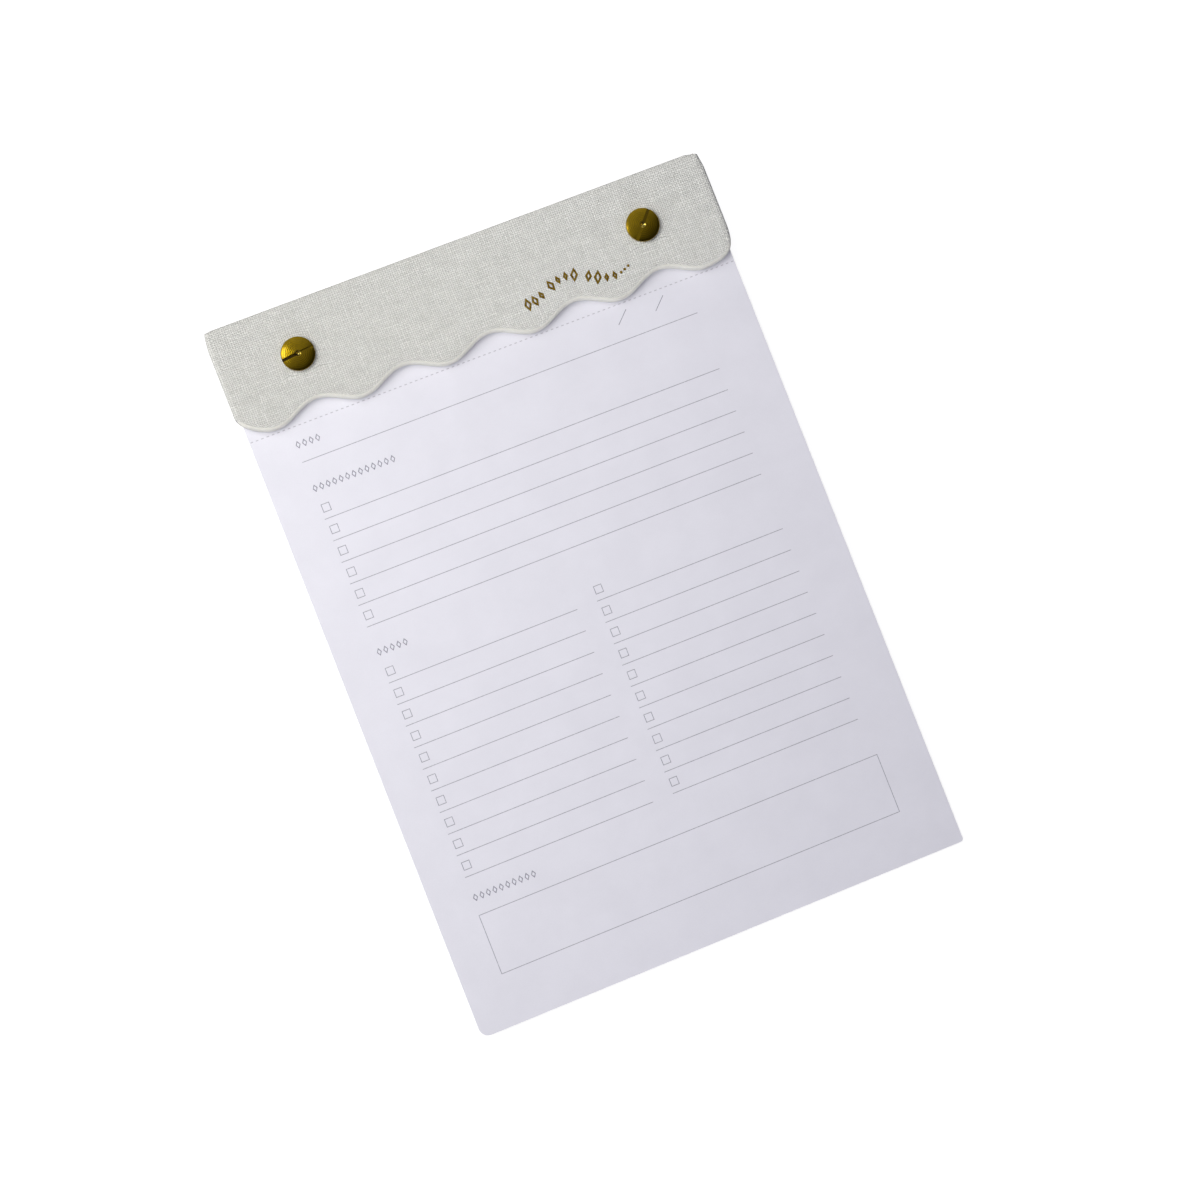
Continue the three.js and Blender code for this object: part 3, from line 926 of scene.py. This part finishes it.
def linen_weave():
    """Node group: a plain weave of uneven threads, from a map in millimetres.

    A thread across shows where the sum of the two thread numbers is even,
    a thread along where it is odd; each is round in section, and noise drawn
    out along it makes it thicker and thinner.
    """
    outputs = [("Height", "Float"), ("Tone", "Float"), ("Speck", "Float")]
    tree, start, end = new_group("linen weave", [("Vector", "Vector")], outputs)
    u, v, _ = separate(tree, start.outputs[0])
    warp_pitch, weft_pitch = 0.62, 0.58
    sway_u = noise(tree, combine(tree, u * 0.3, v * 0.12, 1.0), 1.0, 2.0) - 0.5
    sway_v = noise(tree, combine(tree, u * 0.12, v * 0.3, 7.0), 1.0, 2.0) - 0.5
    across = u / warp_pitch + sway_u * 1.4
    along = v / weft_pitch + sway_v * 1.4
    thread_u = across.apply("FLOOR")
    thread_v = along.apply("FLOOR")
    warp = (across.apply("FRACT") - 0.5).size() * 2
    weft = (along.apply("FRACT") - 0.5).size() * 2
    warp_round = 1 - warp * warp
    weft_round = 1 - weft * weft
    parity = ((thread_u + thread_v) * 0.5).apply("FRACT").ramp(0.24, 0.26)
    warp_tone = noise(tree, combine(tree, thread_u * 5.3, v * 0.16, 3.0), 1.0, 2.0)
    weft_tone = noise(tree, combine(tree, u * 0.16, thread_v * 5.3, 9.0), 1.0, 2.0)
    warp_top = warp_round * (warp_tone * 0.5 + 0.75)
    weft_top = weft_round * (weft_tone * 0.5 + 0.75)
    height = parity * warp_top + (1 - parity) * weft_top
    tone = parity * warp_tone + (1 - parity) * weft_tone
    grain = noise(tree, combine(tree, u, v, 0.0), 3.4, 3.0, 0.7)
    speck = noise(tree, combine(tree, u * 0.9, v * 0.45, 5.0), 1.6, 3.0, 0.6)
    tree.links.new(height.socket, end.inputs["Height"])
    tree.links.new((tone * 0.5 + grain * 0.5).socket, end.inputs["Tone"])
    tree.links.new(speck.socket, end.inputs["Speck"])
    return tree


def cloth_material(weave):
    """Book cloth in warm light grey, with a smoother folded rim painted lighter as painted light, and
    painted shade that darkens it slowly towards its left.
    """
    material, tree, shader = new_material("book cloth", 0.9)
    shader.inputs["Specular IOR Level"].default_value = 0.25
    shader.inputs["Sheen Weight"].default_value = 0.12
    shader.inputs["Sheen Roughness"].default_value = 0.6
    own_map = tree.nodes.new("ShaderNodeUVMap")
    own_map.uv_map = "cloth_map"
    threads = use_group(tree, weave, Vector=own_map.outputs[0])
    height = Field(tree, threads.outputs["Height"])
    tone = Field(tree, threads.outputs["Tone"])
    speck = Field(tree, threads.outputs["Speck"])
    rim = attribute(tree, "rim").ramp(0.1, 0.9)
    colour = mix_colour(tree, tone.ramp(0.25, 0.75), linear(215, 216, 210), linear(254, 255, 250))
    u = separate(tree, own_map.outputs[0])[0]
    # Painted shade: the cloth is painted darker slowly towards its left, where the light falls brightest
    colour = mix_colour(tree, (1 - u.ramp(-110, 60)) * 0.28, colour, linear(170, 169, 164))
    # Painted shade: the hollows between the threads are painted darker, less so on the smoother rim
    hollow_shade = (1 - height.ramp(0.05, 0.55)) * (1 - rim * 0.6)
    colour = mix_colour(tree, hollow_shade * 0.95, colour, linear(149, 150, 142))
    colour = mix_colour(tree, speck.ramp(0.6, 0.72) * 0.55, colour, linear(252, 252, 246))
    # Painted light: the rolled rim is painted lighter, for the light it catches; its smoother weave above
    # is not painted
    colour = mix_colour(tree, rim * 0.6, colour, linear(240, 239, 228))
    tree.links.new(colour, shader.inputs["Base Color"])
    bump(tree, shader, height * (1 - rim * 0.5) + tone * 0.4, 0.11, 1.0)
    return material


def brass_material():
    """Turned brass: fine rings round each piece's own axis, a little tarnish, a painted highlight near the
    axis and painted shade in the screws' slots.
    """
    material, tree, shader = new_material("brass", 0.24, 1.0)
    shader.inputs["Coat Weight"].default_value = 0.15
    shader.inputs["Coat Roughness"].default_value = 0.05
    coordinates = object_coordinates(tree)
    radius = attribute(tree, "radius")
    ring_tone = noise(tree, combine(tree, radius, 0.0, 0.0), 7.0, 3.0, 0.7)
    tarnish = noise(tree, coordinates, 320.0, 4.0, 0.6)
    colour = mix_colour(tree, tarnish.ramp(0.3, 0.75), linear(158, 130, 12), linear(134, 108, 6))
    colour = mix_colour(tree, ring_tone.ramp(0.35, 0.7) * 0.45, colour, linear(186, 158, 28))
    # Painted highlight: near each piece's axis, in the screws' countersinks, the brass is painted brighter
    # as if it glinted
    colour = mix_colour(tree, 1 - radius.ramp(0.5, 1.0), colour, linear(214, 194, 96))
    # Painted shade: the slots are painted darker, each end as much as its screw asks
    slot_shade = attribute(tree, "slot_shade")
    colour = mix_colour(tree, slot_shade * 0.85, colour, linear(52, 36, 12))
    tree.links.new(colour, shader.inputs["Base Color"])
    rough = ring_tone * 0.2 + tarnish * 0.1 + 0.06
    tree.links.new(rough.socket, shader.inputs["Roughness"])
    rings = (radius * (2 * math.pi / 0.5)).apply("SINE") * 0.5 + ring_tone
    bump(tree, shader, rings, 0.014, 1.0)
    return material


def foil_material():
    """Gold foil pressed into cloth: bright, a little broken by the threads under it."""
    material, tree, shader = new_material("gold foil", 0.35, 1.0)
    coordinates = object_coordinates(tree)
    patches = noise(tree, coordinates, 1500.0, 3.0, 0.6)
    colour = mix_colour(tree, patches.ramp(0.35, 0.7), linear(206, 170, 72), linear(142, 110, 36))
    tree.links.new(colour, shader.inputs["Base Color"])
    tree.links.new((patches * 0.3 + 0.2).socket, shader.inputs["Roughness"])
    bump(tree, shader, patches, 0.03, 0.6)
    return material


def board_material(name, pale, dark):
    """Greyboard: pressed pulp with darker and lighter fibres, layered on its cut edges."""
    material, tree, shader = new_material(name, 0.85)
    coordinates = object_coordinates(tree)
    x, y, z = separate(tree, coordinates, 1 / MM)
    pulp = noise(tree, coordinates, 700.0, 5.0, 0.7)
    fibres = noise(tree, combine(tree, x * 0.5, y * 2.4, z * 6), 1.0, 4.0, 0.7)
    tone = pulp * 0.6 + fibres * 0.4
    colour = mix_colour(tree, tone.ramp(0.3, 0.7), dark, pale)
    flecks = noise(tree, coordinates, 1900.0, 2.0).ramp(0.66, 0.74)
    colour = mix_colour(tree, flecks * 0.4, colour, linear(92, 86, 78))
    tree.links.new(colour, shader.inputs["Base Color"])
    bump(tree, shader, tone, 0.06, 0.6)
    return material


def build_pieces():
    """Makes every visible piece and dresses the CAD nodes that stay."""
    fibres = paper_fibres()
    page = printed_page()
    printed = paper_material("printed paper", fibres, page)
    bending = paper_material("printed bending paper", fibres, page, bends=True)
    plain = paper_material("paper edges", fibres)
    cloth = cloth_material(linen_weave())
    brass = brass_material()
    board = board_material("greyboard", linear(176, 168, 155), linear(146, 139, 128))
    lining = board_material("lining paper", linear(226, 224, 218), linear(212, 209, 202))

    by_slot = {
        "paper": plain, "lining_paper": lining, "book_cloth": cloth, "greyboard": board, "brass": brass,
    }
    for part in frame["record"]["subparts"]:
        dress_node(frame["nodes"][part["node"]], by_slot[part["material_slot"]])
    dress_node(frame["nodes"][f"sheet_{LIFTING_SHEETS + 1:02d}"], printed)

    for number in range(1, LIFTING_SHEETS + 1):
        node = f"sheet_{number:02d}"
        sheet = sheet_mesh(f"tear_off_sheet_{number}", number)
        finish_piece(sheet, bending, replaced=(node + "_leaf", node + "_stub"))
        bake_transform(sheet)
    finish_piece(cover_cloth(), cloth, "root", ("cover_cloth",))
    finish_piece(foil(), foil_material(), "root")
    for side, x in (("left", -SCREW_X), ("right", SCREW_X)):
        finish_piece(post(f"post_{side}", x), brass, "root", (f"{side}_post",))
    # The last pair is the painted shade at the two ends of each screw's slot
    for side, x, slot_degrees, slot_shade in (("left", -SCREW_X, 5, (0.3, 1)), ("right", SCREW_X, 49, (0.5, 0))):
        turning = screw(f"screw_{side}", x, slot_degrees, slot_shade)
        finish_piece(turning, brass, f"{side}_screw", (f"{side}_screw",))


def add_camera():
    """The camera that took the photo, from a fit of the printed rules and the sheet's edges."""
    photo_pixels, focal_pixels = 1200, 2357
    camera = bpy.data.cameras.new("camera")
    camera.sensor_width = 36
    camera.lens = camera.sensor_width * focal_pixels / photo_pixels
    obj = bpy.data.objects.new("camera", camera)
    bpy.context.scene.collection.objects.link(obj)
    forward = Vector((0.1082, 0.0157, -0.994)).normalized()
    up = Vector((0.3626, 0.9304, 0.0541))
    right = forward.cross(up).normalized()
    up = right.cross(forward)
    turn = Matrix((right, up, -forward)).transposed().to_4x4()
    obj.matrix_world = Matrix.Translation(Vector((-70.7, -14.5, 675.1)) * MM) @ turn
    bpy.context.scene.camera = obj


def add_light(name, place, target, width, power, colour=(1, 1, 1)):
    """A square area light at a place in metres, turned to a target."""
    light = bpy.data.lights.new(name, "AREA")
    light.size = width
    light.energy = power
    light.color = colour
    obj = bpy.data.objects.new(name, light)
    obj.location = place
    aim = Vector(target) - Vector(place)
    obj.rotation_euler = aim.to_track_quat("-Z", "Y").to_euler()
    obj.visible_camera = False
    bpy.context.scene.collection.objects.link(obj)
    return obj


def add_table():
    """A grey table that keeps the pad's shadow and shines white to the camera and in mirrors."""
    reach = 3.0
    corners = [(-reach, -reach, 0), (reach, -reach, 0), (reach, reach, 0), (-reach, reach, 0)]
    mesh = bpy.data.meshes.new("table")
    mesh.from_pydata(corners, [], [(0, 1, 2, 3)])
    table = bpy.data.objects.new("table", mesh)
    bpy.context.scene.collection.objects.link(table)
    material, tree, shader = new_material("table", 0.9)
    shader.inputs["Base Color"].default_value = (0.25, 0.25, 0.25, 1)
    shader.inputs["Emission Color"].default_value = (1, 1, 1, 1)
    path = tree.nodes.new("ShaderNodeLightPath")
    kinds = ("Camera", "Glossy", "Transmission")
    seen = strongest([Field(tree, path.outputs[f"Is {kind} Ray"]) for kind in kinds])
    tree.links.new((seen * 0.93).socket, shader.inputs["Emission Strength"])
    mesh.materials.append(material)


def add_sky():
    """A dim sky, brighter to the left; the brass mirrors another one, brighter to the upper left."""
    world = bpy.data.worlds.new("sky")
    bpy.context.scene.world = world
    world.use_nodes = True
    sky = world.node_tree
    direction = separate(sky, sky.nodes.new("ShaderNodeTexCoord").outputs["Generated"])
    towards_left = direction[0] * -0.92 + direction[1] * 0.2
    strength = towards_left.ramp(-0.6, 0.7) * 0.34 + 0.05
    towards_upper_left = direction[0] * -0.5 + direction[1] * 0.87
    mirrored = towards_upper_left.ramp(-0.4, 0.6) * 0.72 + 0.04
    sky_path = sky.nodes.new("ShaderNodeLightPath")
    glossy = Field(sky, sky_path.outputs["Is Glossy Ray"])
    strength = glossy * mirrored + (1 - glossy) * strength
    background = sky.nodes["Background"]
    background.inputs["Color"].default_value = (0.84, 0.84, 1.0, 1)
    sky.links.new(strength.socket, background.inputs["Strength"])


def add_lights():
    """A window that the brass doesn't mirror, a glint on it, and two fills.

    The window is at the photo's upper left: the photo's left is along
    (-0.93, 0.37) on the table, its top along (0.36, 0.93).
    """
    window = add_light("window", (-0.25, 0.19, 0.43), (0, 0.02, 0), 0.52, 2.88, (1.0, 0.98, 0.94))
    window.visible_glossy = False
    glint = add_light("glint", (-0.176, 0.19, 0.268), (-0.052, 0.0915, 0.012), 0.11, 0.21)
    glint.visible_diffuse = False
    # Two low lamps that lighten the sides turned away from the window, as pale surroundings do
    fills = (("foot fill", (-0.05, -0.85, 0.17), 2.3), ("side fill", (0.8, 0.1, 0.17), 0.8))
    for name, place, power in fills:
        fill = add_light(name, place, (0, 0.04, 0), 0.3, power, (0.93, 0.93, 1.0))
        fill.visible_glossy = False


build_pieces()
add_camera()
add_table()
add_sky()
add_lights()
bpy.context.scene.view_settings.view_transform = "Standard"
